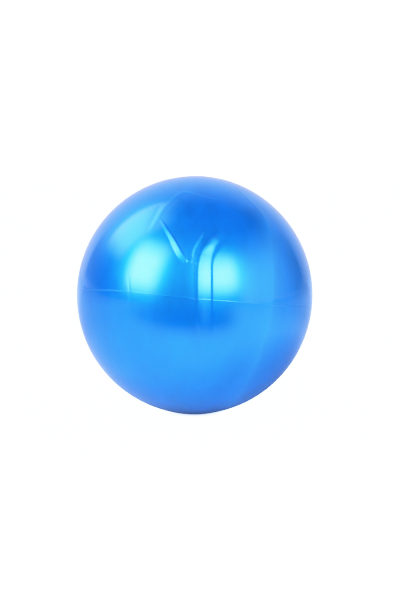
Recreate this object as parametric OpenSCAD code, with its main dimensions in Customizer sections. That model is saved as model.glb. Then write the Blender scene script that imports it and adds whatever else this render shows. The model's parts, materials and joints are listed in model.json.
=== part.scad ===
// A small exercise ball, blown up and lying on the floor, in millimetres with +Z up.
// The origin is the middle of the patch that lies on the floor, and the front of the ball faces -Y.
// Every piece is round about the mould axis, which leans the way the ball came to rest.

/* [Ball] */
// Width of the ball across its equator
ball_d = 250; // [180:1:320]
// How much longer the ball is along its mould axis, where the wall gives more
pole_stretch = 3; // [0:0.5:10]
// Thickness of the wall
wall_t = 0.7; // [0.4:0.05:1.2]

/* [Parting line] */
// Width of the bead that the two mould halves leave
bead_w = 1.2; // [0.8:0.1:2]
// Height of the bead above the skin
bead_h = 0.3; // [0.15:0.05:0.4]
// How far the bead lies below the middle of the ball
bead_drop = 2.9; // [0:0.1:10]

/* [Resting place] */
// Lean of the mould axis to the right, in degrees
lean_right = 4.6; // [-10:0.1:10]
// Lean of the mould axis to the back, in degrees
lean_back = 6.5; // [-10:0.1:10]
// Width of the flat patch that the weight presses on the floor
patch_d = 28; // [16:1:40]

/* [Valve plug] */
// Width of the head
head_d = 12; // [9:0.5:18]
// Thickness of the head
head_t = 1.6; // [1.2:0.1:3]
// Bevel round the head's edges
head_bevel = 0.3; // [0.1:0.05:0.4]
// Width of the dimple in the middle of the head
dimple_d = 5; // [2:0.5:7]
// Depth of the dimple
dimple_h = 0.5; // [0.2:0.1:0.8]
// Length of the stem
stem_l = 14; // [9:0.5:20]
// Width of the stem between its ribs
stem_d = 5.4; // [4:0.1:5.8]
// Width of the stem's tip
tip_d = 3.4; // [2:0.1:3.8]
// Length of the stem's tapered tip
tip_l = 2; // [1:0.1:3]
// Distance from one rib to the next
rib_pitch = 3.6; // [2.5:0.1:5]
// Length of each rib's ramp
rib_l = 2; // [1:0.1:2.4]
// Length of each rib's grip on the bore
rib_land = 0.6; // [0.3:0.1:1]

/* [Valve seat] */
// Width of the bore that grips the plug
bore_d = 6.6; // [6.2:0.1:8]
// Thickness of the neck round the bore
neck_t = 2.2; // [1.5:0.1:4]
// How far the neck reaches past the tip of the plug
neck_spare = 1; // [0.5:0.1:3]
// Room for a fingernail round the plug's head
nail_gap = 2.5; // [1.5:0.1:4]
// Width of the rim round the dish
rim_w = 1.5; // [1:0.1:3]
// Thickness of the floor of the dish
floor_t = 1.5; // [1:0.1:3]
// How far the flange reaches under the ball's wall
flange_w = 6; // [3:0.5:12]
// Thickness of the flange
flange_t = 1.2; // [0.8:0.1:2]

/* [Fits] */
// Gap for the bond between the seat and the ball's wall
bond_gap = 0.05; // [0.02:0.01:0.1]
// Gap between the plug's ribs and the bore
rib_gap = 0.05; // [0.02:0.01:0.1]

/* [Hidden] */
$fn = 180;

// The skin is one arc turned about the mould axis
equator_r = ball_d / 2;
pole_z = equator_r + pole_stretch / 2;
arc_r = (equator_r * equator_r + pole_z * pole_z) / ball_d;
arc_x = equator_r - arc_r;
function skin_r(z) = arc_x + sqrt(arc_r * arc_r - z * z);
function skin_z(r) = sqrt(arc_r * arc_r - (r - arc_x) * (r - arc_x));

// The bead is a ring whose section rises by bead_h over a chord of bead_w
bead_r = (bead_w * bead_w / 4 + bead_h * bead_h) / (2 * bead_h);
bead_ring_r = skin_r(bead_drop) + bead_h - bead_r;

// The floor cuts the leaning skin in a patch of the set width
lean = acos(cos(lean_back) * cos(lean_right));
skin_reach = arc_r + arc_x * sin(lean);
patch_sink = arc_r - sqrt(arc_r * arc_r - patch_d * patch_d / 4);
middle_z = skin_reach - patch_sink;

// The plug's head lies flush in the dish, and the dish in the port
dish_z = pole_z - head_t;
dish_r = head_d / 2 + nail_gap;
collar_r = dish_r + rim_w;
port_r = collar_r + bond_gap;
flange_r = port_r + flange_w;
flange_depth = wall_t + bond_gap;
bore_r = bore_d / 2;
neck_r = bore_r + neck_t;
neck_l = stem_l + neck_spare;

// The ribs fill the stem from the head to the tip
rib_r = bore_r - rib_gap;
rib_count = floor((stem_l - tip_l - rib_l - rib_land) / rib_pitch);
dimple_r = (dimple_d * dimple_d / 4 + dimple_h * dimple_h) / (2 * dimple_h);

// Puts what is drawn about the ball's middle where the ball lies
module as_it_lies() {
    translate([0, 0, middle_z])
        rotate([-lean_back, lean_right, 0])
            children();
}

// Half of the skin's section, or of a surface that lies deeper in the wall
module skin_section(depth = 0) {
    intersection() {
        translate([arc_x, 0]) circle(r = arc_r - depth);
        translate([0, -ball_d]) square([ball_d, 2 * ball_d]);
    }
}

// A strip of the section from one height to another, as wide as r
module strip(r, low, high) {
    translate([0, low]) square([r, high - low]);
}

// Everything above a height over the floor
module above(z) {
    translate([-ball_d, -ball_d, z]) cube(2 * ball_d);
}

module ball_shell() {
    color("dodgerblue")
        difference() {
            intersection() {
                as_it_lies()
                    rotate_extrude() {
                        skin_section();
                        translate([bead_ring_r, -bead_drop]) circle(r = bead_r);
                    }
                above(0);
            }
            intersection() {
                as_it_lies() rotate_extrude() skin_section(wall_t);
                above(wall_t);
            }
            as_it_lies()
                translate([0, 0, equator_r / 2]) cylinder(r = port_r, h = ball_d);
        }
}

module seat_section() {
    difference() {
        union() {
            intersection() {
                skin_section();
                strip(collar_r, dish_z - floor_t, ball_d);
            }
            intersection() {
                difference() {
                    skin_section(flange_depth);
                    skin_section(flange_depth + flange_t);
                }
                strip(flange_r, 0, ball_d);
            }
            strip(neck_r, dish_z - neck_l, dish_z);
        }
        strip(dish_r, dish_z, ball_d);
        strip(bore_r, 0, ball_d);
    }
}

module valve_seat() {
    color("royalblue")
        as_it_lies() rotate_extrude() seat_section();
}

// The head's edges are bevelled, and the skin's arc crowns its top
module head_section() {
    head_r = head_d / 2;
    edge_z = skin_z(head_r);
    difference() {
        intersection() {
            skin_section();
            polygon([
                [0, dish_z],
                [head_r - head_bevel, dish_z],
                [head_r, dish_z + head_bevel],
                [head_r, edge_z - head_bevel],
                [head_r - 2 * head_bevel, edge_z + head_bevel],
                [0, pole_z + head_bevel]
            ]);
        }
        translate([0, pole_z - dimple_h + dimple_r]) circle(r = dimple_r);
    }
}

// The stem runs down from the head to its tapered tip
module stem_section() {
    stem_r = stem_d / 2;
    polygon([
        [0, dish_z - stem_l],
        [tip_d / 2, dish_z - stem_l],
        [stem_r, dish_z - stem_l + tip_l],
        [stem_r, dish_z + head_t / 2],
        [0, dish_z + head_t / 2]
    ]);
}

// A rib grips the bore with its land, and ramps down to the stem below it
module rib_section(top) {
    polygon([
        [0, top - rib_land - rib_l],
        [stem_d / 2, top - rib_land - rib_l],
        [rib_r, top - rib_land],
        [rib_r, top],
        [0, top]
    ]);
}

module valve_plug() {
    color("white")
        as_it_lies()
            rotate_extrude() {
                head_section();
                stem_section();
                for (i = [1 : rib_count])
                    rib_section(dish_z - stem_l + tip_l + rib_l + rib_land + (i - 1) * rib_pitch);
            }
}

ball_shell();
valve_seat();
valve_plug();
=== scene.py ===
"""The looks of a small pearl blue exercise ball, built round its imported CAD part, for Blender 4.5."""

import json
import math

import bmesh
import bpy
import numpy as np
from mathutils import Matrix, Vector


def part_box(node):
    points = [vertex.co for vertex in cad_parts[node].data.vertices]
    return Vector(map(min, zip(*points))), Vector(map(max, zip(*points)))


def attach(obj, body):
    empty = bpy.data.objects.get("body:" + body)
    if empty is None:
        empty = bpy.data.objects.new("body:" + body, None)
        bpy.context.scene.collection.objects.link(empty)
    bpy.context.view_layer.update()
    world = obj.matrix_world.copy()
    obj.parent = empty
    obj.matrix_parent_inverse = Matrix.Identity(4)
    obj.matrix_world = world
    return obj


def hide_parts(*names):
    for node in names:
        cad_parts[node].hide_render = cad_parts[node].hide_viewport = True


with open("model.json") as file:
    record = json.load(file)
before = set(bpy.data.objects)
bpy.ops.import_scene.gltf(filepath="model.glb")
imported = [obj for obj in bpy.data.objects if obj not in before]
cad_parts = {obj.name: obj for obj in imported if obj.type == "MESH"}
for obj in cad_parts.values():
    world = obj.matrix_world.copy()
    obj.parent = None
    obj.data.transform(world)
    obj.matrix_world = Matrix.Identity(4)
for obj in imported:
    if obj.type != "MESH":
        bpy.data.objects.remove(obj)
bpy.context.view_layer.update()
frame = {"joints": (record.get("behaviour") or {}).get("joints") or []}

MM = 0.001

# Sizes of the part's source, in metres
EQUATOR_R = 125 * MM
POLE_Z = 126.5 * MM
WALL_T = 0.7 * MM
BEAD_W = 1.2 * MM
BEAD_H = 0.3 * MM
BEAD_DROP = 2.9 * MM
PORT_R = 10.05 * MM

# The skin is one arc turned about the mould axis: its radius, and how far its middle lies off the axis
ARC_R = (EQUATOR_R**2 + POLE_Z**2) / (2 * EQUATOR_R)
ARC_X = EQUATOR_R - ARC_R

# The plug slides along the mould axis, so its joint says how the ball leans
mould_axis = Vector(frame["joints"][0]["axis"]).normalized()
lean = math.acos(mould_axis.z)
lean_back = math.asin(mould_axis.y)
lean_right = math.atan2(mould_axis.x, mould_axis.z)
skin_reach = ARC_R + ARC_X * math.sin(lean)
middle = Vector((0, 0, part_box("ball_shell")[1].z - skin_reach))
as_it_lies = (
    Matrix.Translation(middle)
    @ Matrix.Rotation(lean_right, 4, "Y")
    @ Matrix.Rotation(-lean_back, 4, "X")
)

# The photo's frame in pixels, the middle of the ball in it and the radius of its outline
IMAGE_W, IMAGE_H = 400, 600
BALL_MIDDLE_PX = (194.73, 295.05)
BALL_RADIUS_PX = 118.2
CAMERA_ELEVATION = math.radians(7)
CAMERA_DISTANCE = 1.6
CAMERA_CLIP = (0.05, 60)
SENSOR = 36.0


def make_camera():
    """The photo's viewpoint. The outline of a ball of radius r at distance d has the slope
    r / sqrt(d2 - r2)."""
    outline_slope = EQUATOR_R / math.sqrt(CAMERA_DISTANCE**2 - EQUATOR_R**2)
    focal_px = BALL_RADIUS_PX / outline_slope
    data = bpy.data.cameras.new("camera")
    data.sensor_width = SENSOR
    data.lens = SENSOR * focal_px / IMAGE_H
    data.clip_start, data.clip_end = CAMERA_CLIP
    camera = bpy.data.objects.new("camera", data)
    bpy.context.scene.collection.objects.link(camera)
    bpy.context.scene.camera = camera
    back = Vector((0, -math.cos(CAMERA_ELEVATION), math.sin(CAMERA_ELEVATION)))
    turn = (-back).to_track_quat("-Z", "Y")
    px_size = CAMERA_DISTANCE / focal_px
    right = (IMAGE_W / 2 - BALL_MIDDLE_PX[0]) * px_size
    up = (BALL_MIDDLE_PX[1] - IMAGE_H / 2) * px_size
    camera.location = middle + back * CAMERA_DISTANCE + turn @ Vector((right, up, 0))
    camera.rotation_mode = "QUATERNION"
    camera.rotation_quaternion = turn
    return camera, focal_px


camera, focal_px = make_camera()


def skin_at(t, phi):
    """Points of the smooth skin and their outward normals about the ball's middle. t is the normal's
    angle from the mould axis, and phi the turn about it."""
    normal = np.stack([np.sin(t) * np.cos(phi), np.sin(t) * np.sin(phi), np.cos(t)], -1)
    point = normal * ARC_R
    point[..., 0] += ARC_X * np.cos(phi)
    point[..., 1] += ARC_X * np.sin(phi)
    return point, normal


def skin_angles(point):
    """The angles t and phi of points on or near the skin, and how deep they lie under it."""
    phi = np.arctan2(point[..., 1], point[..., 0])
    out = np.hypot(point[..., 0], point[..., 1]) - ARC_X
    return np.arctan2(out, point[..., 2]), phi, ARC_R - np.hypot(out, point[..., 2])


# The skin is nearly a sphere, so a few rounds find where a ray meets it
RAY_ROUNDS = 4


def under_pixels(pixels):
    """The skin's angles t and phi under pixels of the photo."""
    to_mould = as_it_lies.inverted()
    eye = np.array(to_mould @ camera.location)
    turn = np.array(to_mould.to_3x3() @ camera.rotation_quaternion.to_matrix())
    pixels = np.asarray(pixels, float)
    rays = np.stack(
        [pixels[:, 0] - IMAGE_W / 2, IMAGE_H / 2 - pixels[:, 1], np.full(len(pixels), -focal_px)], -1
    )
    rays = rays @ turn.T
    rays /= np.linalg.norm(rays, axis=1, keepdims=True)
    nearest = -rays @ eye
    reach = np.full(len(pixels), EQUATOR_R)
    for _ in range(RAY_ROUNDS):
        miss2 = eye @ eye - nearest**2
        hit = eye + rays * (nearest - np.sqrt(np.maximum(reach**2 - miss2, 0)))[:, None]
        t, phi, _depth = skin_angles(hit)
        reach = np.linalg.norm(skin_at(t, phi)[0], axis=1)
    return t, phi


def smooth_line(points, per_span=24):
    """A Catmull-Rom line through points of any number of values each."""
    p = np.asarray(points, float)
    p = np.vstack([2 * p[0] - p[1], p, 2 * p[-1] - p[-2]])
    u = np.linspace(0, 1, per_span, endpoint=False)[:, None]
    spans = []
    for a, b, c, d in zip(p, p[1:], p[2:], p[3:]):
        spans.append(
            0.5 * (2 * b + (c - a) * u + (2 * a - 5 * b + 4 * c - d) * u**2 + (3 * b - a - 3 * c + d) * u**3)
        )
    return np.vstack([*spans, p[-2:-1]])


def step(x, low, high):
    """0 below low, 1 above high and smooth between them."""
    u = np.clip((x - low) / (high - low), 0, 1)
    return u * u * (3 - 2 * u)


# How far a fold's crest is rounded, how many widths a lap runs out over, how wide the steps at the edges
# of a pleat and of a blade are, and half the width of the full pleat
CREST_R = 0.5 * MM
LAP_RUN = 3
PLEAT_RISE = 4.2 * MM
PLEAT_BACK = 3.0 * MM
PLEAT_W = 6 * MM
BLADE_EDGE = 2.4 * MM


def ridge(s, width):
    """A rounded ridge, or a groove where its height is below zero."""
    return np.exp(-((s / width) ** 2))


def lap(s, width):
    """A ridge that is steep on its left and runs out on its right."""
    return np.exp(-((s / np.where(s < 0, width, LAP_RUN * width)) ** 2))


def blade(s, width):
    """A flat facet that rises evenly from its right, then drops off a sharp edge on its left."""
    return np.clip(1 - np.maximum(s, 0) / width, 0, 1) * step(s, -BLADE_EDGE, 0)


def soft_fold(s, width):
    """A crest that falls off to both sides, ever more gently."""
    return np.exp(-(np.sqrt(s * s + CREST_R**2) - CREST_R) / width)


def pleat(s, width):
    """A flap of film pushed to the left: it rises in a step, slopes down to the right and steps back up,
    more gently where the flap is narrow."""
    rise = step(s, -width - PLEAT_RISE, -width)
    back = step(s, width, width + PLEAT_BACK * (PLEAT_W / width) ** 2)
    return rise * (1 - back) * np.clip(-s / width, -1, 1)


# The long fold down the right of the ball, which starts as a fine ridge
RIGHT_FOLD_PX = [
    (242, 192.8, 1), (252, 202.6, 1), (260, 211.8, 1), (266, 222, 1), (269.3, 235, 1), (271.3, 252, 1),
    (273, 270, 1), (273.4, 288, 1), (270.3, 315, 1), (261.8, 348.3, 1), (248.5, 378.3, 1), (234, 400, 1),
    (222, 413, 1),
]
# Creases that packing left in the film. Front ones run through pixels of the photo, with a share of their
# width and height as a third value, and the others through degrees of longitude and latitude on the ball.
# Each has a distance over which it fades in and out, and how many times the faces are cut for it
CREASES = {
    "left_arm": dict(
        pixels=[
            (157.5, 215, 0.3), (160.5, 220, 0.35), (166.5, 229, 0.5), (172.2, 237, 0.7),
            (176.9, 245, 0.9), (182.0, 254, 0.95), (185, 259, 0.72), (187.6, 263, 0.5),
        ],
        shape=blade, height=0.78 * MM, width=5.6 * MM, fades=(28 * MM, 3.5 * MM), fine=3,
    ),
    "faint_arm": dict(
        pixels=[
            (206, 227.5, 1), (200.8, 236.7, 1), (195.6, 244.5, 1),
            (192.4, 251, 1), (191.8, 257, 0.9), (192.5, 262, 0.9),
        ],
        shape=lap, height=0.3 * MM, width=1.6 * MM, fades=(10 * MM, 10 * MM), fine=3,
    ),
    "pinch": dict(
        pixels=[(190.5, 261, 1), (192.5, 262, 1), (194.7, 263.3, 1), (197.5, 265, 1)],
        shape=ridge, height=-0.16 * MM, width=1.5 * MM, fades=(3 * MM, 3 * MM), fine=3,
    ),
    "pleat": dict(
        pixels=[
            (206, 352, 0.9), (207, 338, 0.95), (205, 318, 1), (204.5, 300, 1), (204.4, 275, 1),
            (205, 262, 0.9), (208.0, 251, 0.8), (214, 241, 0.65), (221, 231, 0.5),
        ],
        shape=pleat, height=0.5 * MM, width=PLEAT_W, fades=(46 * MM, 10 * MM), fine=3,
    ),
    "pleat_top": dict(
        pixels=[(205.5, 255, 1), (208, 248, 1), (212, 241.5, 1), (218, 234.5, 1)],
        shape=ridge, height=0.5 * MM, width=4.5 * MM, fades=(14 * MM, 7 * MM), fine=2,
    ),
    "upper_valley": dict(
        pixels=[(162, 203, 1), (158.5, 209.5, 1), (155, 216, 1), (151.5, 223, 1), (147, 233, 1)],
        shape=ridge, height=-0.15 * MM, width=3.2 * MM, fades=(8 * MM, 10 * MM), fine=2,
    ),
    "arch": dict(
        pixels=[
            (148, 233, 1), (153.5, 224, 1), (159, 215.3, 1), (163.5, 208, 1), (173, 198, 1), (180.5, 193, 1),
            (188, 192, 0.8), (200, 195.6, 0.6), (211, 198.4, 0.5), (221, 200.5, 0.5), (230, 202.5, 0.5),
        ],
        shape=ridge, height=0.11 * MM, width=2.6 * MM, fades=(8 * MM, 20 * MM), fine=2,
    ),
    "tick": dict(
        pixels=[(128, 270, 0.9), (128.8, 282, 1), (129.5, 292, 1), (129.6, 303, 0.8)],
        shape=ridge, height=-0.07 * MM, width=1.3 * MM, fades=(18 * MM, 5 * MM), fine=3,
    ),
    "right_fold": dict(
        pixels=RIGHT_FOLD_PX,
        shape=soft_fold, height=0.8 * MM, width=18 * MM, fades=(60 * MM, 40 * MM), fine=3,
    ),
    "right_fold_top": dict(
        pixels=[(235, 185.5, 1), *RIGHT_FOLD_PX[:4]],
        shape=ridge, height=0.14 * MM, width=1.0 * MM, fades=(12 * MM, 16 * MM), fine=3,
    ),
    "left_back_fold": dict(
        degrees=[(-118, 62, 1), (-114, 35, 1), (-112, 5, 1), (-115, -25, 1), (-120, -50, 1)],
        shape=soft_fold, height=0.5 * MM, width=9 * MM, fades=(45 * MM, 45 * MM), fine=0,
    ),
    "back_fold": dict(
        degrees=[(168, 70, 1), (172, 40, 1), (175, 10, 1), (172, -20, 1), (166, -48, 1)],
        shape=soft_fold, height=0.55 * MM, width=10 * MM, fades=(45 * MM, 45 * MM), fine=0,
    ),
    "right_back_fold": dict(
        degrees=[(104, 52, 1), (108, 28, 1), (110, 4, 1), (107, -22, 1)],
        shape=soft_fold, height=0.45 * MM, width=8 * MM, fades=(40 * MM, 40 * MM), fine=0,
    ),
    "back_pinch_left": dict(
        degrees=[(-160, 34, 0.8), (-164, 27, 1), (-169, 19, 1), (-172, 11, 0.9)],
        shape=ridge, height=0.35 * MM, width=2.0 * MM, fades=(7 * MM, 7 * MM), fine=2,
    ),
    "back_pinch_right": dict(
        degrees=[(-186, 36, 0.6), (-182, 27, 0.8), (-179, 17, 1), (-178, 2, 1), (-178, -16, 1)],
        shape=pleat, height=0.3 * MM, width=5 * MM, fades=(8 * MM, 28 * MM), fine=2,
    ),
}


def crease_line(crease):
    """Points close together along a crease on the skin: place, direction along, direction to its right,
    length so far and share."""
    if "pixels" in crease:
        line = smooth_line(crease["pixels"])
        t, phi = under_pixels(line[:, :2])
    else:
        line = smooth_line(crease["degrees"])
        t = np.radians(90 - line[:, 1])
        phi = np.radians(line[:, 0] - 90)
    point, normal = skin_at(t, phi)
    along = np.gradient(point, axis=0)
    along /= np.linalg.norm(along, axis=1, keepdims=True)
    length = np.concatenate([[0], np.cumsum(np.linalg.norm(np.diff(point, axis=0), axis=1))])
    return point, along, np.cross(along, normal), length, line[:, 2]


crease_lines = {name: crease_line(c) for name, c in CREASES.items()}


# Points are compared with a line in batches of about this many
BATCH = 4000


def nearest_on(line_points, points, reach):
    """For each point, the index of the nearest line point, or -1 where the line is further than reach."""
    found = np.full(len(points), -1)
    lo, hi = line_points.min(0) - reach, line_points.max(0) + reach
    close = np.flatnonzero(((points > lo) & (points < hi)).all(1))
    for part in np.array_split(close, max(1, len(close) // BATCH)):
        d2 = ((points[part, None, :] - line_points[None]) ** 2).sum(2)
        best = d2.argmin(1)
        found[part] = np.where(d2[np.arange(len(part)), best] < reach**2, best, -1)
    return found


# How many widths to each side a shape of crease still counts, and the share of that where it starts to fade
REACHES = {ridge: 3.2, lap: 7.0, blade: 2.2, soft_fold: 3.5, pleat: 3.2}
FADE_FROM = 0.75


def crease_heights(points):
    """How high the creases stand at points of the smooth skin, and how sharply the film was folded
    there, from 0 to 1."""
    height = np.zeros(len(points))
    stress = np.zeros(len(points))
    for name, crease in CREASES.items():
        place, along, right, length, share = crease_lines[name]
        fade_in, fade_out = crease["fades"]
        reach = crease["width"] * REACHES[crease["shape"]]
        index = nearest_on(place, points, reach)
        on = np.flatnonzero(index >= 0)
        i = index[on]
        off = points[on] - place[i]
        s = (off * right[i]).sum(1)
        u = length[i] + (off * along[i]).sum(1)
        strength = step(u, 0, fade_in) * (1 - step(u, length[-1] - fade_out, length[-1]))
        width = crease["width"] * share[i]
        raised = crease["shape"](s, width) * strength * crease["height"] * share[i]
        raised *= 1 - step(np.abs(s), FADE_FROM * reach, reach)
        height[on] += raised
        if crease["fine"]:
            stress[on] = np.maximum(stress[on], np.exp(-np.abs(s) / width) * strength)
    return height, stress


# The angle of the parting line from the mould axis
SEAM_T = math.acos(-BEAD_DROP / ARC_R)
# The film stretched unevenly, so that the parting line strays a little from its circle through these pixels
SEAM_PX = [
    (79, 288.5), (97, 289.6), (110, 290.2), (128, 291.8), (164, 295.6),
    (194, 298.9), (230, 301.7), (262, 304), (296, 306.9), (310, 307.7),
]
# It comes back to the circle over this angle past them, and the film over this distance above and below
STRAY_FADE = 0.5
STRAY_REACH = (3 * MM, 25 * MM)
# The bead's lowest height and what its waves add, as shares of the source's, and each wave's count and start
BEAD_LOW = 0.32
BEAD_MORE = 0.2
BEAD_WAVES = ((7, 1.3), (17, 0.4))
# Stretches, from one pixel to another, where trimming left the bead lower or higher, by what factor, and
# the angle over which that fades
BEAD_STRETCHES = (
    ((80, 288.5), (116, 290.7), 1.4),
    ((122, 291.2), (160, 295.2), 0.2),
    ((165, 295.7), (183, 297.5), 0.45),
    ((186, 297.9), (197, 299), 1.3),
    ((201, 299.4), (214, 300.4), 0.8),
    ((218, 300.8), (236, 302), 0.45),
    ((240, 302.5), (270, 304.8), 0.25),
    ((275, 305.2), (309, 307.6), 0.8),
)
BEAD_FADE = 0.04
# A speck of flash beside it
FLASH_PX = (226.4, 303.4)
FLASH_H = 0.25 * MM
FLASH_R = 1.1 * MM


def seam_stray(t, phi):
    """How far the film near the parting line lies lower or higher than on an even ball, as an angle."""
    seam_t, seam_phi = under_pixels(SEAM_PX)
    phi = np.where(phi > math.pi / 2, phi - 2 * math.pi, phi)
    stray = np.interp(phi, seam_phi, seam_t - SEAM_T)
    stray *= step(phi, seam_phi[0] - STRAY_FADE, seam_phi[0])
    stray *= 1 - step(phi, seam_phi[-1], seam_phi[-1] + STRAY_FADE)
    return stray * (1 - step(np.abs(t - SEAM_T) * ARC_R, *STRAY_REACH))


def bead_height(t, phi, points):
    """The height of the parting line's bead, which the trimming left a little uneven."""
    s = (t - SEAM_T) * ARC_R
    (slow, slow_start), (quick, quick_start) = BEAD_WAVES
    wave = 0.5 + 0.5 * np.sin(slow * phi + slow_start) * np.sin(quick * phi + quick_start)
    height = BEAD_H * (BEAD_LOW + BEAD_MORE * wave)
    for start, end, factor in BEAD_STRETCHES:
        _t, (left, right) = under_pixels([start, end])
        within = step(phi, left - BEAD_FADE, left) * (1 - step(phi, right, right + BEAD_FADE))
        height *= 1 + (factor - 1) * within
    bead = height * np.maximum(1 - (2 * s / BEAD_W) ** 2, 0)
    flash_t, flash_phi = under_pixels([FLASH_PX])
    flash_at = skin_at(flash_t, flash_phi)[0][0]
    away = np.linalg.norm(points - flash_at, axis=1)
    return bead + FLASH_H * np.exp(-((away / FLASH_R) ** 2))


# Slow unevenness of the blown-up film: the length of its waves and their height
WAVES = ((0.16, 0.16 * MM), (0.09, 0.07 * MM), (0.05, 0.025 * MM))
WAVES_PER_LENGTH = 7
FILM_SEED = 11


def film_waves(points):
    """Gentle waves of the film, the same on every run."""
    draw = np.random.RandomState(FILM_SEED)
    height = np.zeros(len(points))
    for wave_length, wave_height in WAVES:
        for _ in range(WAVES_PER_LENGTH):
            heading = draw.normal(size=3)
            heading *= 2 * math.pi / wave_length / np.linalg.norm(heading)
            height += np.sin(points @ heading + draw.uniform(0, 2 * math.pi)) * wave_height / WAVES_PER_LENGTH
    return height


def new_piece(name, bm):
    """An object of the scene from a bmesh, smooth shaded, with its normals facing out."""
    bmesh.ops.recalc_face_normals(bm, faces=bm.faces)
    for face in bm.faces:
        face.smooth = True
    mesh = bpy.data.meshes.new(name)
    bm.to_mesh(mesh)
    bm.free()
    piece = bpy.data.objects.new(name, mesh)
    bpy.context.scene.collection.objects.link(piece)
    return piece


# Points closer to the mould axis than this lie on it
ON_AXIS = 1e-7


def spun(section, columns, closed):
    """A bmesh of a section of (radius, height) points turned about the mould axis, as a ring if closed."""
    bm = bmesh.new()
    turns = [2 * math.pi * i / columns for i in range(columns)]
    rows = []
    for r, z in section:
        if r < ON_AXIS:
            rows.append([bm.verts.new((0, 0, z))] * columns)
        else:
            rows.append([bm.verts.new((r * math.cos(a), r * math.sin(a), z)) for a in turns])
    pairs = list(zip(rows, rows[1:]))
    if closed:
        pairs.append((rows[-1], rows[0]))
    for upper, lower in pairs:
        for i in range(columns):
            j = (i + 1) % columns
            corners = [upper[i], lower[i], lower[j], upper[j]]
            bm.faces.new(list(dict.fromkeys(corners)))
    return bm


def rounded(corners, steps=4):
    """Section points with each corner (radius, height, fillet) rounded off by its fillet."""
    section = []
    count = len(corners)
    for i, (r, z, fillet) in enumerate(corners):
        if not fillet:
            section.append((r, z))
            continue
        here = Vector((r, z))
        before = (Vector(corners[i - 1][:2]) - here).normalized()
        after = (Vector(corners[(i + 1) % count][:2]) - here).normalized()
        for k in range(steps + 1):
            u = k / steps
            point = here + before * fillet * (1 - u) ** 2 + after * fillet * u**2
            section.append((point.x, point.y))
    return section


# The skin's faces round the mould axis and their height along it
SKIN_COLUMNS = 216
SKIN_ROW = 3.6 * MM
# How far the port's edge is rounded, a little less than its stretch, so that no two points meet
LIP_ROUND = 0.25 * MM
LIP_SHARE = 0.98
# The film lies smooth round the port, and its unevenness grows over this angle
SMOOTH_ANGLE = 0.12
ANGLE_SLACK = 1e-6
# Rows above and below the parting line, and rows of the plain inside
BEAD_ROWS = [0.2 * MM, 0.4 * MM, 0.6 * MM, 0.85 * MM, 1.3 * MM, 2.0 * MM]
INSIDE_ROWS = 32
# Over the valve's flange, so far from the port, the inside has finer rows
OVER_FLANGE = 8 * MM
OVER_FLANGE_ROWS = 5
# Faces are cut in four up to three times within so many widths of a crease, a little further at first
CUTS = 3
CUT_REACHES = {ridge: 2.4, lap: 3.2, blade: 1.3, soft_fold: 0.14, pleat: 1.75}
CUT_MARGIN = 1.5 * MM
# The floor presses flat what lies lower than this, with an edge rounded so far
FLAT_BELOW = 6 * MM
FLAT_ROUND = 0.3 * MM


def skin_section():
    """The section of the ball's wall, from the bottom of the inside round the port's edge to the bottom
    of the outside, and the angle where the port's edge ends."""
    depth_r = ARC_R - WALL_T
    bottom = math.pi - math.asin(-ARC_X / ARC_R)
    inside_bottom = math.pi - math.asin(-ARC_X / depth_r)
    inside_port = math.asin((PORT_R - ARC_X) / depth_r)
    outside_port = math.asin((PORT_R - ARC_X) / ARC_R)
    section = [(0, depth_r * math.cos(inside_bottom))]
    over_flange = inside_port + OVER_FLANGE / depth_r
    inside = [
        *np.linspace(inside_bottom, over_flange, INSIDE_ROWS)[1:-1],
        *np.linspace(over_flange, inside_port, OVER_FLANGE_ROWS),
    ]
    for t in inside:
        section.append((ARC_X + depth_r * math.sin(t), depth_r * math.cos(t)))
    lip_t = outside_port + LIP_ROUND / ARC_R
    edge_z = ARC_R * math.cos(outside_port)
    lip = [
        (PORT_R, edge_z - LIP_ROUND, 0),
        (PORT_R, edge_z, LIP_ROUND * LIP_SHARE),
        (ARC_X + ARC_R * math.sin(lip_t), ARC_R * math.cos(lip_t), 0),
    ]
    section += rounded(lip)[:-1]
    near = np.array(BEAD_ROWS) / ARC_R
    above = np.linspace(lip_t, SEAM_T - near[-1], round((SEAM_T - lip_t) * ARC_R / SKIN_ROW))
    below = np.linspace(SEAM_T + near[-1], bottom, round((bottom - SEAM_T) * ARC_R / SKIN_ROW))
    seam = np.concatenate([SEAM_T - near[-2::-1], [SEAM_T], SEAM_T + near[:-1]])
    for t in np.concatenate([above, seam, below[:-1]]):
        section.append((ARC_X + ARC_R * math.sin(t), ARC_R * math.cos(t)))
    section.append((0, ARC_R * math.cos(bottom)))
    return section, lip_t


def cut_near_creases(bm):
    """Cuts the faces of the outside finer near the creases, so that their shapes show."""
    for cut in range(1, CUTS + 1):
        centres = np.array([face.calc_center_median() for face in bm.faces])
        outside = skin_angles(centres)[2] < WALL_T / 2
        near = np.zeros(len(centres), bool)
        for name, crease in CREASES.items():
            if crease["fine"] >= cut:
                band = crease["width"] * CUT_REACHES[crease["shape"]] + (CUTS - cut) * CUT_MARGIN
                near |= nearest_on(crease_lines[name][0], centres, band) >= 0
        bm.faces.ensure_lookup_table()
        edges = {edge for i in np.flatnonzero(near & outside) for edge in bm.faces[i].edges}
        bmesh.ops.subdivide_edges(bm, edges=list(edges), cuts=1, use_grid_fill=True)


def pressed_flat(heights, floor):
    """Heights of the film over the table, with what lies under its own floor pressed up to it."""
    over = heights - floor
    flat = 0.5 * (over + np.sqrt(over**2 + FLAT_ROUND**2))
    return np.where(over < FLAT_BELOW, floor + flat, heights)


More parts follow.
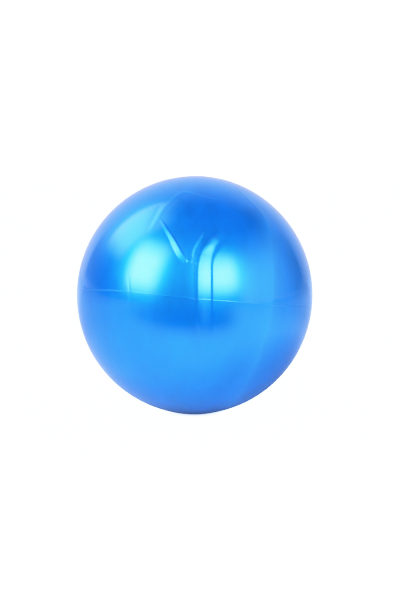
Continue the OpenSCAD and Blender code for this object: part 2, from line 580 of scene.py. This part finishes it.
def make_skin():
    """The blown-up film: a wall with the port, the parting line's bead, the creases and the flat patch
    underneath."""
    section, lip_t = skin_section()
    bm = spun(section, SKIN_COLUMNS, closed=False)
    cut_near_creases(bm)
    skin = new_piece("ball_skin", bm)
    mesh = skin.data
    co = np.zeros(len(mesh.vertices) * 3)
    mesh.vertices.foreach_get("co", co)
    co = co.reshape(-1, 3)
    t, phi, depth = skin_angles(co)
    outside = (depth < WALL_T / 2) & (t > lip_t - ANGLE_SLACK)
    t, phi = t[outside], phi[outside]
    point, normal = skin_at(t + seam_stray(t, phi), phi)
    height, stress = crease_heights(point)
    height += film_waves(point)
    height *= step(t, lip_t, lip_t + SMOOTH_ANGLE)
    height += bead_height(t, phi, point)
    co[outside] = point + normal * height[:, None]
    lies = np.array(as_it_lies)
    co = co @ lies[:3, :3].T + lies[:3, 3]
    co[:, 2] = pressed_flat(co[:, 2], np.where(depth < WALL_T / 2, 0, WALL_T))
    mesh.vertices.foreach_set("co", co.ravel())
    folded = mesh.attributes.new("fold_stress", "FLOAT", "POINT")
    values = np.zeros(len(co))
    values[outside] = stress
    folded.data.foreach_set("value", values)
    mesh.update()
    return skin


skin = make_skin()
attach(skin, "ball")
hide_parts("ball_shell")


def skin_z(r, depth=0):
    """Height of the skin, or of a surface that lies deeper in the wall, at a radius from the mould
    axis, in mm."""
    arc_r, arc_x = ARC_R / MM - depth, ARC_X / MM
    return math.sqrt(arc_r**2 - (r - arc_x) ** 2)


# Sizes of the valve in mm, as in the part's source
DISH_Z = 124.9
DISH_R = 8.5
COLLAR_R = 10.0
FLANGE_R = 16.05
FLANGE_TOP = 0.75
FLANGE_BOTTOM = 1.95
DISH_FLOOR_T = 1.5
BORE_R = 3.3
NECK_R = 5.5
NECK_L = 15.0
HEAD_R = 6.0
HEAD_BEVEL = 0.3
DIMPLE_R = 6.5
DIMPLE_H = 0.5
STEM_R = 2.7
STEM_L = 14.0
TIP_R = 1.7
RIB_R = 3.25
RIB_LAND = 0.6
RIB_L = 2.0
RIB_TOPS = (115.5, 119.1)
VALVE_COLUMNS = 120
# Rows over the flange, and radii of rows in the dimple, at its edge and over the head's crown
FLANGE_ROWS = 6
DIMPLE_ROWS = (0.6, 1.2, 1.7, 2.1)
DIMPLE_EDGE = 2.4
CROWN_ROWS = (3.2, 4.2, 5.0)
# The bevel on top of the head starts so many bevels in, and so far over the skin's height at its edge
TOP_BEVEL_SHARE = 1.5
TOP_BEVEL_LIFT = 0.02
# Fillets in mm of crisp edges, of the head's top, of fine corners, of the mouths of bore and dimple, of
# eased edges and of deep corners
CRISP = 0.12
HEAD_TOP = 0.15
FINE = 0.2
MOUTH = 0.25
EASED = 0.3
DEEP = 0.4


def place_about_axis(piece):
    """Brings a piece that was drawn in mm about the mould axis to where the ball lies."""
    piece.data.transform(Matrix.Scale(MM, 4))
    piece.data.transform(as_it_lies)
    piece.data.update()
    return piece


def make_seat():
    """The moulded insert that is bonded into the port: a rim, a dish for the plug's head, a flange and
    a neck."""
    low = DISH_Z - DISH_FLOOR_T
    corners = [
        (BORE_R, DISH_Z, MOUTH),
        (DISH_R, DISH_Z, DEEP),
        (DISH_R, skin_z(DISH_R), EASED),
        (COLLAR_R, skin_z(COLLAR_R), FINE),
        (COLLAR_R, skin_z(COLLAR_R, FLANGE_TOP), 0),
    ]
    for r in np.linspace(COLLAR_R, FLANGE_R, FLANGE_ROWS)[1:]:
        corners.append((r, skin_z(r, FLANGE_TOP), 0))
    for r in np.linspace(FLANGE_R, COLLAR_R, FLANGE_ROWS):
        corners.append((r, skin_z(r, FLANGE_BOTTOM), 0))
    corners += [
        (COLLAR_R, low, EASED),
        (NECK_R, low, DEEP),
        (NECK_R, DISH_Z - NECK_L, EASED),
        (BORE_R, DISH_Z - NECK_L, EASED),
    ]
    seat = new_piece("valve_seat_insert", spun(rounded(corners), VALVE_COLUMNS, closed=True))
    return place_about_axis(seat)


def make_plug():
    """The push-in stopper: a crowned head with a dimple, and a ribbed stem with a tapered tip."""
    top = POLE_Z / MM
    corners = [(0, top - DIMPLE_H, 0)]
    for r in DIMPLE_ROWS:
        corners.append((r, top - DIMPLE_H + DIMPLE_R - math.sqrt(DIMPLE_R**2 - r * r), 0))
    corners.append((DIMPLE_EDGE, skin_z(DIMPLE_EDGE), MOUTH))
    for r in CROWN_ROWS:
        corners.append((r, skin_z(r), 0))
    corners += [
        (HEAD_R - TOP_BEVEL_SHARE * HEAD_BEVEL, skin_z(HEAD_R) + TOP_BEVEL_LIFT, HEAD_TOP),
        (HEAD_R, skin_z(HEAD_R) - HEAD_BEVEL, HEAD_TOP),
        (HEAD_R, DISH_Z + HEAD_BEVEL, CRISP),
        (HEAD_R - HEAD_BEVEL, DISH_Z, CRISP),
        (STEM_R, DISH_Z, FINE),
    ]
    for rib_top in reversed(RIB_TOPS):
        corners += [
            (STEM_R, rib_top, FINE),
            (RIB_R, rib_top, CRISP),
            (RIB_R, rib_top - RIB_LAND, FINE),
            (STEM_R, rib_top - RIB_LAND - RIB_L, FINE),
        ]
    # The lowest rib ends where the tip begins
    corners += [(TIP_R, DISH_Z - STEM_L, EASED), (0, DISH_Z - STEM_L, 0)]
    plug = new_piece("valve_stopper", spun(rounded(corners), VALVE_COLUMNS, closed=False))
    return place_about_axis(plug)


seat = make_seat()
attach(seat, "ball")
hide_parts("valve_seat")

plug = make_plug()
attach(plug, "plug")
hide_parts("valve_plug")


def colour(srgb_hex):
    """An sRGB hex colour as linear red, green, blue and alpha."""
    channels = []
    for i in (1, 3, 5):
        c = int(srgb_hex[i : i + 2], 16) / 255
        channels.append(c / 12.92 if c <= 0.04045 else ((c + 0.055) / 1.055) ** 2.4)
    return (*channels, 1)


def add_node(tree, kind, settings=None, links=None):
    """Adds one node. Settings and links go by the name or number of an input, and other settings to the
    node itself."""
    node = tree.nodes.new(kind)
    for name, value in (settings or {}).items():
        if isinstance(name, str) and name not in node.inputs:
            setattr(node, name, value)
    for name, value in (settings or {}).items():
        if not isinstance(name, str) or name in node.inputs:
            node.inputs[name].default_value = value
    for name, socket in (links or {}).items():
        tree.links.new(socket, node.inputs[name])
    return node


def new_material(name):
    """An empty material with its output, and the place on the piece in metres, turned to the mould axis."""
    material = bpy.data.materials.new(name)
    material.use_nodes = True
    tree = material.node_tree
    tree.nodes.clear()
    output = add_node(tree, "ShaderNodeOutputMaterial")
    place = add_node(tree, "ShaderNodeTexCoord").outputs["Object"]
    turned = add_node(
        tree, "ShaderNodeMapping",
        {"vector_type": "TEXTURE", "Rotation": as_it_lies.to_euler()},
        {"Vector": place},
    )
    return material, tree, output, turned.outputs["Vector"]


def pearl_pvc():
    """Rotationally moulded soft PVC with mica pearl: the pigment gives a deep blue body, the titania on the
    flakes a broad cyan gloss, and the smooth moulded face a thin clear reflection on top."""
    material, tree, output, place = new_material("rotomoulded_pearl_pvc")
    # Pearl clouds about 30 mm across, drawn out five times as long where the paste ran in the mould
    run = add_node(tree, "ShaderNodeMapping", {"Scale": (1, 1, 0.2)}, {"Vector": place})
    clouds = add_node(
        tree, "ShaderNodeTexNoise",
        {"Scale": 1 / (30 * MM), "Detail": 7.0, "Roughness": 0.7},
        {"Vector": run.outputs["Vector"]},
    )
    body = add_node(tree, "ShaderNodeValToRGB", None, {"Fac": clouds.outputs["Fac"]})
    body.color_ramp.elements[0].position = 0.32
    body.color_ramp.elements[0].color = colour("#0047C4")
    body.color_ramp.elements[1].position = 0.68
    body.color_ramp.elements[1].color = colour("#015DE4")
    # Near the creases the film's colour is drawn a little paler
    folded = add_node(tree, "ShaderNodeAttribute", {"attribute_name": "fold_stress"})
    pale = add_node(
        tree, "ShaderNodeMapRange",
        {"From Min": 0.35, "From Max": 1.0, "To Max": 0.22}, {"Value": folded.outputs["Fac"]},
    )
    base = add_node(
        tree, "ShaderNodeMix", {"data_type": "RGBA", 7: colour("#3FA0FF")},
        {0: pale.outputs["Result"], 6: body.outputs["Color"]},
    )
    # Flakes are about 0.05 mm, too fine to show, so their sparkle is drawn 1.5 mm wide
    flakes = add_node(
        tree, "ShaderNodeTexNoise", {"Scale": 1 / (1.5 * MM), "Detail": 1.0}, {"Vector": place},
    )
    gloss = add_node(
        tree, "ShaderNodeMapRange",
        {"From Min": 0.3, "From Max": 0.7, "To Min": 0.28, "To Max": 0.33}, {"Value": flakes.outputs["Fac"]},
    )
    # Orange peel of the moulded face, about 4 mm from crest to crest
    peel = add_node(
        tree, "ShaderNodeTexNoise", {"Scale": 1 / (4 * MM), "Detail": 2.0}, {"Vector": place},
    )
    relief = add_node(
        tree, "ShaderNodeBump", {"Strength": 0.5, "Distance": 0.02 * MM}, {"Height": peel.outputs["Fac"]},
    )
    shader = add_node(
        tree, "ShaderNodeBsdfPrincipled",
        {
            "IOR": 2.5,
            "Specular IOR Level": 0.9,
            "Specular Tint": colour("#2EE6FF"),
            "Coat Weight": 1.0,
            "Coat Roughness": 0.06,
            "Coat IOR": 1.45,
        },
        {
            "Base Color": base.outputs[2],
            "Roughness": gloss.outputs["Result"],
            "Normal": relief.outputs["Normal"],
        },
    )
    tree.links.new(shader.outputs["BSDF"], output.inputs["Surface"])
    return material


def moulded(name, cloud_size, tones, gloss_range, grain_size, grain_strength, shine):
    """An injection moulded plastic: clouds of pigment between two tones, a gloss that changes with them
    and the fine grain of the mould's face. Sizes are in metres."""
    material, tree, output, place = new_material(name)
    clouds = add_node(
        tree, "ShaderNodeTexNoise", {"Scale": 1 / cloud_size, "Detail": 2.0}, {"Vector": place},
    )
    body = add_node(tree, "ShaderNodeValToRGB", None, {"Fac": clouds.outputs["Fac"]})
    for element, position, tone in zip(body.color_ramp.elements, (0.3, 0.7), tones):
        element.position = position
        element.color = colour(tone)
    gloss = add_node(
        tree, "ShaderNodeMapRange",
        {"From Min": 0.3, "From Max": 0.7, "To Min": gloss_range[0], "To Max": gloss_range[1]},
        {"Value": clouds.outputs["Fac"]},
    )
    grain = add_node(
        tree, "ShaderNodeTexNoise", {"Scale": 1 / grain_size, "Detail": 2.0}, {"Vector": place},
    )
    relief = add_node(
        tree, "ShaderNodeBump", {"Strength": grain_strength, "Distance": 0.02 * MM},
        {"Height": grain.outputs["Fac"]},
    )
    shader = add_node(
        tree, "ShaderNodeBsdfPrincipled", shine,
        {
            "Base Color": body.outputs["Color"],
            "Roughness": gloss.outputs["Result"],
            "Normal": relief.outputs["Normal"],
        },
    )
    tree.links.new(shader.outputs["BSDF"], output.inputs["Surface"])
    return material


def seat_pvc():
    """Plain PVC of a darker blue without pearl: a satin face that sets the valve off from the film."""
    return moulded(
        "moulded_plain_pvc", cloud_size=6 * MM, tones=("#0A4FC4", "#0D5AD2"), gloss_range=(0.3, 0.42),
        grain_size=1.2 * MM, grain_strength=0.3, shine={"IOR": 1.53},
    )


def plug_pe():
    """Natural PE: milky white, waxy, with light that goes a little way in and a soft broad gloss."""
    shine = {
        "IOR": 1.51,
        "Subsurface Weight": 0.3,
        "Subsurface Radius": (1.0, 1.0, 1.0),
        "Subsurface Scale": 1.5 * MM,
    }
    return moulded(
        "moulded_natural_pe", cloud_size=5 * MM, tones=("#E4E7E6", "#F0F2F0"), gloss_range=(0.38, 0.48),
        grain_size=0.8 * MM, grain_strength=0.2, shine=shine,
    )


skin.data.materials.append(pearl_pvc())
seat.data.materials.append(seat_pvc())
plug.data.materials.append(plug_pe())


# How far the sheets of the set reach from the ball
SHEET_REACH = 6


def plain_sheet(name, y, z, srgb_hex, roughness=0.9):
    """A wide flat sheet of the set from one y to another, with a plain finish."""
    x = (-SHEET_REACH, SHEET_REACH)
    bm = bmesh.new()
    corners = [(x[0], y[0], z), (x[1], y[0], z), (x[1], y[1], z), (x[0], y[1], z)]
    bm.faces.new([bm.verts.new(c) for c in corners])
    sheet = new_piece(name, bm)
    material, tree, output, _place = new_material(name)
    shader = add_node(
        tree, "ShaderNodeBsdfPrincipled",
        {"Base Color": colour(srgb_hex), "Roughness": roughness, "Specular IOR Level": 0.0},
    )
    tree.links.new(shader.outputs["BSDF"], output.inputs["Surface"])
    sheet.data.materials.append(material)
    return sheet


# The table's glow, which paints a pool of light in front of the ball: where it is brightest, how far it
# reaches, and how bright it is in the ball's gloss and on its body
GLOW_AT = (0.13, -0.28, 0)
GLOW_REACH = (0.18, 0.66)
GLOW_IN_GLOSS = (0.97, 0.40)
GLOW_ON_BODY = 0.95
# Further to the right the lit wall brightens it: where, how far and by how much
SIDE_AT = (0.75, -0.7, 0)
SIDE_REACH = (0.3, 0.7)
SIDE_GLOW = 0.28
# The rest of it dwindles towards the horizon beyond this distance
DWINDLE_FROM = 1.1
# Towards the left back the table runs on to the white wall: which way, from where to where it brightens
# and by how much
FAR_WAY = (-0.6, 1.0, 0)
FAR_FROM = (0.0, 0.22)
FAR_GLOW = 0.12
# Straight behind the ball it sweeps up to that wall: how much it leans to the left, from where to where it
# brightens and by how much
SWEEP_LEAN = 0.1
SWEEP_FROM = (0.0, 0.5)
SWEEP_GLOW = 0.5
# Round this place under its right back the ball keeps the table's light off and spills its own blue on it:
# from where to where that fades, how bright it is left, and its tone beside the table's own
SHADE_AT = (0.1, 0.06, 0)
SHADE_REACH = (0.03, 0.24)
SHADE_GLOW = 0.25
SHADE_TONE = "#3E8ECC"
TABLE_TONE = "#CDE4FF"
# Where it lies on the table hardly any light gets in, and a thin shadow shows round its patch
CONTACT_AT = (0, 0, 0)
CONTACT_REACH = (0.012, 0.062)
CONTACT_SHADOW = (0.0135, 0.036)
# How bright the table is in the camera, where it washes out
TABLE_IN_CAMERA = 5.0


def fade_from(tree, place, at, reach, shown=(0.0, 1.0)):
    """An amount that goes from one value to another with the distance from a spot."""
    away = add_node(tree, "ShaderNodeVectorMath", {"operation": "DISTANCE", 1: at}, {0: place})
    faded = add_node(
        tree, "ShaderNodeMapRange",
        {"From Min": reach[0], "From Max": reach[1], "To Min": shown[0], "To Max": shown[1]},
        {"Value": away.outputs["Value"]},
    )
    return faded.outputs["Result"]


def share_within(tree, fades):
    """The product of smooth fades, each from 0 at one value of a socket to 1 at another."""
    share = None
    for socket, dark, full in fades:
        fade = add_node(
            tree, "ShaderNodeMapRange",
            {"interpolation_type": "SMOOTHSTEP", "From Min": dark, "From Max": full}, {"Value": socket},
        ).outputs["Result"]
        if share:
            fade = add_node(tree, "ShaderNodeMath", {"operation": "MULTIPLY"}, {0: share, 1: fade}).outputs[0]
        share = fade
    return share


def make_floor():
    """A light table, a white sheet lit from below, whose glow also paints the light and shade round the ball:
    brightest in front of it, with painted shade under its right back and a painted contact shadow round its
    patch. In the camera it washes out."""
    floor = plain_sheet("glow_table_with_painted_shade", (-SHEET_REACH, SHEET_REACH), 0.0, "#7E7E7E")
    tree = floor.data.materials[0].node_tree
    output = tree.nodes["Material Output"]
    path = add_node(tree, "ShaderNodeLightPath")
    place = add_node(tree, "ShaderNodeTexCoord").outputs["Object"]
    from_contact = add_node(tree, "ShaderNodeVectorMath", {"operation": "LENGTH"}, {0: place})
    dwindle = add_node(
        tree, "ShaderNodeMath", {"operation": "DIVIDE", "use_clamp": True, 0: DWINDLE_FROM},
        {1: from_contact.outputs["Value"]},
    )
    glow = fade_from(tree, place, GLOW_AT, GLOW_REACH, GLOW_IN_GLOSS)
    left_back = add_node(
        tree, "ShaderNodeVectorMath", {"operation": "DOT_PRODUCT", 1: FAR_WAY}, {0: place},
    )
    far = add_node(
        tree, "ShaderNodeMapRange",
        {"From Min": FAR_FROM[0], "From Max": FAR_FROM[1], "To Max": FAR_GLOW},
        {"Value": left_back.outputs["Value"]},
    )
    side = fade_from(tree, place, SIDE_AT, SIDE_REACH, (SIDE_GLOW, 0.0))
    parts = add_node(tree, "ShaderNodeSeparateXYZ", None, {"Vector": place})
    leaned = add_node(
        tree, "ShaderNodeMath", {"operation": "MULTIPLY_ADD", 1: SWEEP_LEAN},
        {0: parts.outputs["Y"], 2: parts.outputs["X"]},
    )
    aside = add_node(tree, "ShaderNodeMath", {"operation": "ABSOLUTE"}, {0: leaned.outputs[0]})
    behind = add_node(
        tree, "ShaderNodeMath", {"operation": "SUBTRACT"}, {0: parts.outputs["Y"], 1: aside.outputs[0]},
    )
    sweep = add_node(
        tree, "ShaderNodeMapRange",
        {"From Min": SWEEP_FROM[0], "From Max": SWEEP_FROM[1], "To Max": SWEEP_GLOW},
        {"Value": behind.outputs[0]},
    )
    left_and_right = add_node(
        tree, "ShaderNodeMath", {"operation": "ADD"}, {0: far.outputs["Result"], 1: side},
    )
    beyond = add_node(
        tree, "ShaderNodeMath", {"operation": "ADD"},
        {0: left_and_right.outputs[0], 1: sweep.outputs["Result"]},
    )
    unshaded = add_node(
        tree, "ShaderNodeMath", {"operation": "MULTIPLY_ADD"},
        {0: glow, 1: dwindle.outputs[0], 2: beyond.outputs[0]},
    )
    lit_share = fade_from(tree, place, SHADE_AT, SHADE_REACH)
    in_gloss = add_node(
        tree, "ShaderNodeMix", {"data_type": "FLOAT", 2: SHADE_GLOW}, {0: lit_share, 3: unshaded.outputs[0]},
    )
    on_ball = add_node(
        tree, "ShaderNodeMix", {"data_type": "FLOAT", 2: GLOW_ON_BODY},
        {0: path.outputs["Is Glossy Ray"], 3: in_gloss.outputs[0]},
    )
    open_share = fade_from(tree, place, CONTACT_AT, CONTACT_REACH)
    got_in = add_node(
        tree, "ShaderNodeMath", {"operation": "MULTIPLY"}, {0: on_ball.outputs[0], 1: open_share},
    )
    in_camera = fade_from(tree, place, CONTACT_AT, CONTACT_SHADOW, (0.0, TABLE_IN_CAMERA))
    strength = add_node(
        tree, "ShaderNodeMix", {"data_type": "FLOAT"},
        {0: path.outputs["Is Camera Ray"], 2: got_in.outputs[0], 3: in_camera},
    )
    not_gloss = add_node(
        tree, "ShaderNodeMath", {"operation": "SUBTRACT", 0: 1.0}, {1: path.outputs["Is Glossy Ray"]},
    )
    white_share = add_node(
        tree, "ShaderNodeMath", {"operation": "MAXIMUM"}, {0: lit_share, 1: not_gloss.outputs[0]},
    )
    tone = add_node(
        tree, "ShaderNodeMix", {"data_type": "RGBA", 6: colour(SHADE_TONE), 7: colour(TABLE_TONE)},
        {0: white_share.outputs[0]},
    )
    lit = add_node(
        tree, "ShaderNodeEmission", None, {"Color": tone.outputs[2], "Strength": strength.outputs[0]},
    )
    seen = add_node(
        tree, "ShaderNodeAddShader", None,
        {0: output.inputs["Surface"].links[0].from_socket, 1: lit.outputs[0]},
    )
    tree.links.new(seen.outputs[0], output.inputs["Surface"])
    return floor


make_floor()


# A dark sheet in front of the ball paints the dark band of its reflection beyond the table's near edge: where
# the sheet starts and how far it lies over the table, then the distances across which it fades in, and the
# slopes across which it does on both sides
DARK_FROM = -0.05
DARK_LIFT = 1 * MM
DARK_NEAR = (-0.23, -0.43)
DARK_LEFT = (2.4, 0.2)
DARK_RIGHT = (-1.0, -0.35)


def make_dark_front():
    """A dark sheet beyond the table's near edge that only the ball's own gloss shows: a painted dark
    reflection.
    """
    dark = plain_sheet("dark_reflection_sheet", (-SHEET_REACH, DARK_FROM), DARK_LIFT, "#101214")
    dark.visible_camera = False
    dark.visible_diffuse = False
    dark.visible_shadow = False
    tree = dark.data.materials[0].node_tree
    output = tree.nodes["Material Output"]
    place = add_node(tree, "ShaderNodeTexCoord")
    parts = add_node(tree, "ShaderNodeSeparateXYZ", None, {"Vector": place.outputs["Object"]})
    slope = add_node(
        tree, "ShaderNodeMath", {"operation": "DIVIDE"}, {0: parts.outputs["X"], 1: parts.outputs["Y"]},
    )
    share = share_within(tree, (
        (parts.outputs["Y"], *DARK_NEAR), (slope.outputs[0], *DARK_LEFT), (slope.outputs[0], *DARK_RIGHT),
    ))
    clear_part = add_node(tree, "ShaderNodeBsdfTransparent")
    seen = add_node(
        tree, "ShaderNodeMixShader", None,
        {0: share, 1: clear_part.outputs[0], 2: output.inputs["Surface"].links[0].from_socket},
    )
    tree.links.new(seen.outputs[0], output.inputs["Surface"])
    return dark


make_dark_front()


def towards(azimuth, elevation):
    """The direction from the ball at degrees right of the camera's side and above the horizon."""
    a, e = math.radians(azimuth), math.radians(elevation)
    return Vector((math.sin(a) * math.cos(e), -math.cos(a) * math.cos(e), math.sin(e)))


def softbox(name, distance, azimuths, elevations, radiance, edges):
    """A soft light that fills the given degrees as the ball sees it. It fades out towards its left, right,
    low and high edges, each over a share of its width or height."""
    mid_elevation = sum(elevations) / 2
    half_w = math.radians(azimuths[1] - azimuths[0]) / 2 * math.cos(math.radians(mid_elevation))
    half_h = math.radians(elevations[1] - elevations[0]) / 2
    away = towards(sum(azimuths) / 2, mid_elevation)
    data = bpy.data.lights.new(name, "AREA")
    data.shape = "RECTANGLE"
    data.size = 2 * distance * math.tan(half_w)
    data.size_y = 2 * distance * math.tan(half_h)
    data.energy = 4 * radiance * data.size * data.size_y
    data.use_nodes = True
    tree = data.node_tree
    tree.nodes.clear()
    output = add_node(tree, "ShaderNodeOutputLight")
    across = add_node(tree, "ShaderNodeNewGeometry")
    parts = add_node(tree, "ShaderNodeSeparateXYZ", None, {"Vector": across.outputs["Parametric"]})
    left, right, low, high = edges
    share = share_within(tree, (
        (parts.outputs["X"], 0, left), (parts.outputs["X"], 1, 1 - right),
        (parts.outputs["Y"], 0, low), (parts.outputs["Y"], 1, 1 - high),
    ))
    shine = add_node(tree, "ShaderNodeEmission", None, {"Strength": share})
    tree.links.new(shine.outputs["Emission"], output.inputs["Surface"])
    light = bpy.data.objects.new(name, data)
    bpy.context.scene.collection.objects.link(light)
    light.location = middle + away * distance
    light.rotation_mode = "QUATERNION"
    light.rotation_quaternion = away.to_track_quat("Z", "Y")
    light.visible_camera = False
    return light


# The lights that the ball's gloss shows, and those that light its body, with how far away they stand. Each
# has its degrees from left to right and from low to high, its radiance and how soft its edges are
GLOSS_DISTANCE = 3.0
GLOSS_LIGHTS = {
    "left_softbox": ((-79, -28), (2, 55), 7.4, (0.36, 0.36, 0.36, 0.45)),
    "right_softbox": ((-3, 48.2), (2.5, 47), 7.2, (0.51, 0.3, 0.42, 0.5)),
    "back_left_softbox": ((-136, -68.5), (22, 80), 2.2, (0.2, 0.3, 0.3, 0.55)),
    "right_wall": ((32, 136), (-8, 54), 1.05, (0.2, 0.95, 0.1, 0.55)),
}
BODY_DISTANCE = 1.6
BODY_LIGHTS = {
    "front_fill": ((-75, 35), (0, 50), 1.5, (0.3, 0.3, 0.1, 0.3)),
    "right_fill": ((70, 150), (0, 45), 0.8, (0.3, 0.3, 0.3, 0.3)),
}
for name, settings in GLOSS_LIGHTS.items():
    softbox(name, GLOSS_DISTANCE, *settings).visible_diffuse = False
for name, settings in BODY_LIGHTS.items():
    softbox(name, BODY_DISTANCE, *settings).visible_glossy = False


# How bright the room and the white wall behind the ball are in its gloss, and what share of the wall's
# light is left beside it
ROOM_GLOW = 0.055
WALL_GLOW = 0.86
BESIDE_WALL = 0.35
# Which way the wall is brightest, and the cosines from that way across which it brightens
WALL_WAY = (-0.15, 0.975, 0.12)
WALL_SPREAD = (0.22, 0.97)
# The slopes across which its left and right edges brighten, and the heights across which those edges are
# lost above and below
WALL_LEFT = (-0.97, -0.85)
WALL_RIGHT = (1.16, 1.04)
WALL_TOP = (0.2, 0.5)
WALL_FOOT = (0.07, 0.0)
# Which way the room lights the ball's body most, how bright it is away from there and there, and how
# bright it is in the camera
BODY_WAY = (-0.45, -0.85, -0.25)
BODY_GLOW = (1.15, 1.6)
ROOM_IN_CAMERA = 6.0


def light_room():
    """A dim room, white behind the ball, so that its gloss is dark at the front and bright round the
    outline."""
    world = bpy.data.worlds.new("room")
    world.use_nodes = True
    tree = world.node_tree
    tree.nodes.clear()
    bpy.context.scene.world = world
    output = add_node(tree, "ShaderNodeOutputWorld")
    path = add_node(tree, "ShaderNodeLightPath")
    heading = add_node(tree, "ShaderNodeTexCoord")
    back = add_node(
        tree, "ShaderNodeVectorMath", {"operation": "DOT_PRODUCT", 1: WALL_WAY},
        {0: heading.outputs["Generated"]},
    )
    wall = add_node(
        tree, "ShaderNodeMapRange",
        {
            "interpolation_type": "SMOOTHSTEP",
            "From Min": WALL_SPREAD[0], "From Max": WALL_SPREAD[1], "To Max": WALL_GLOW,
        },
        {"Value": back.outputs["Value"]},
    )
    parts = add_node(tree, "ShaderNodeSeparateXYZ", None, {"Vector": heading.outputs["Generated"]})
    slope = add_node(
        tree, "ShaderNodeMath", {"operation": "DIVIDE"}, {0: parts.outputs["X"], 1: parts.outputs["Y"]},
    )
    between = share_within(tree, ((slope.outputs[0], *WALL_LEFT), (slope.outputs[0], *WALL_RIGHT)))
    above = share_within(tree, ((parts.outputs["Z"], *WALL_TOP),))
    below = share_within(tree, ((parts.outputs["Z"], *WALL_FOOT),))
    lost = add_node(tree, "ShaderNodeMath", {"operation": "MAXIMUM"}, {0: above, 1: below})
    lit = add_node(tree, "ShaderNodeMath", {"operation": "MAXIMUM"}, {0: between, 1: lost.outputs[0]})
    share = add_node(
        tree, "ShaderNodeMapRange", {"To Min": BESIDE_WALL}, {"Value": lit.outputs[0]},
    )
    gloss = add_node(
        tree, "ShaderNodeMath", {"operation": "MULTIPLY_ADD", 2: ROOM_GLOW},
        {0: wall.outputs["Result"], 1: share.outputs["Result"]},
    )
    side = add_node(
        tree, "ShaderNodeVectorMath", {"operation": "DOT_PRODUCT", 1: BODY_WAY},
        {0: heading.outputs["Generated"]},
    )
    on_body = add_node(
        tree, "ShaderNodeMapRange",
        {"From Min": -1.0, "From Max": 1.0, "To Min": BODY_GLOW[0], "To Max": BODY_GLOW[1]},
        {"Value": side.outputs["Value"]},
    )
    on_ball = add_node(
        tree, "ShaderNodeMix", {"data_type": "FLOAT"},
        {0: path.outputs["Is Glossy Ray"], 2: on_body.outputs["Result"], 3: gloss.outputs[0]},
    )
    seen = add_node(
        tree, "ShaderNodeMix", {"data_type": "FLOAT", 3: ROOM_IN_CAMERA},
        {0: path.outputs["Is Camera Ray"], 2: on_ball.outputs[0]},
    )
    shine = add_node(
        tree, "ShaderNodeBackground", {"Color": colour("#FFFFFF")}, {"Strength": seen.outputs[0]},
    )
    tree.links.new(shine.outputs["Background"], output.inputs["Surface"])


light_room()


# The camera's response in red and green, which rolls off in the lights, and in blue, which is full sooner.
# Each pair is scene light and what it is shown as, up to the light that is shown as white
RESPONSE = ((0.25, 0.25), (0.5, 0.49), (0.75, 0.66), (1.0, 0.78), (1.5, 0.89), (2.0, 0.95), (3.0, 0.99))
BLUE_RESPONSE = (
    (0.25, 0.25), (0.5, 0.51), (0.75, 0.77), (0.9, 0.90),
    (1.0, 0.945), (1.2, 0.97), (2.0, 0.98), (3.2, 0.985),
)
WHITE = 4.0


def set_response():
    """Shows the scene as the photo's camera does."""
    view = bpy.context.scene.view_settings
    view.view_transform = "Standard"
    view.use_curve_mapping = True
    mapping = view.curve_mapping
    mapping.white_level = (WHITE, WHITE, WHITE)
    for curve, response in zip(mapping.curves, (RESPONSE, RESPONSE, BLUE_RESPONSE)):
        for light, shown in response:
            curve.points.new(light / WHITE, shown)
    mapping.update()


set_response()
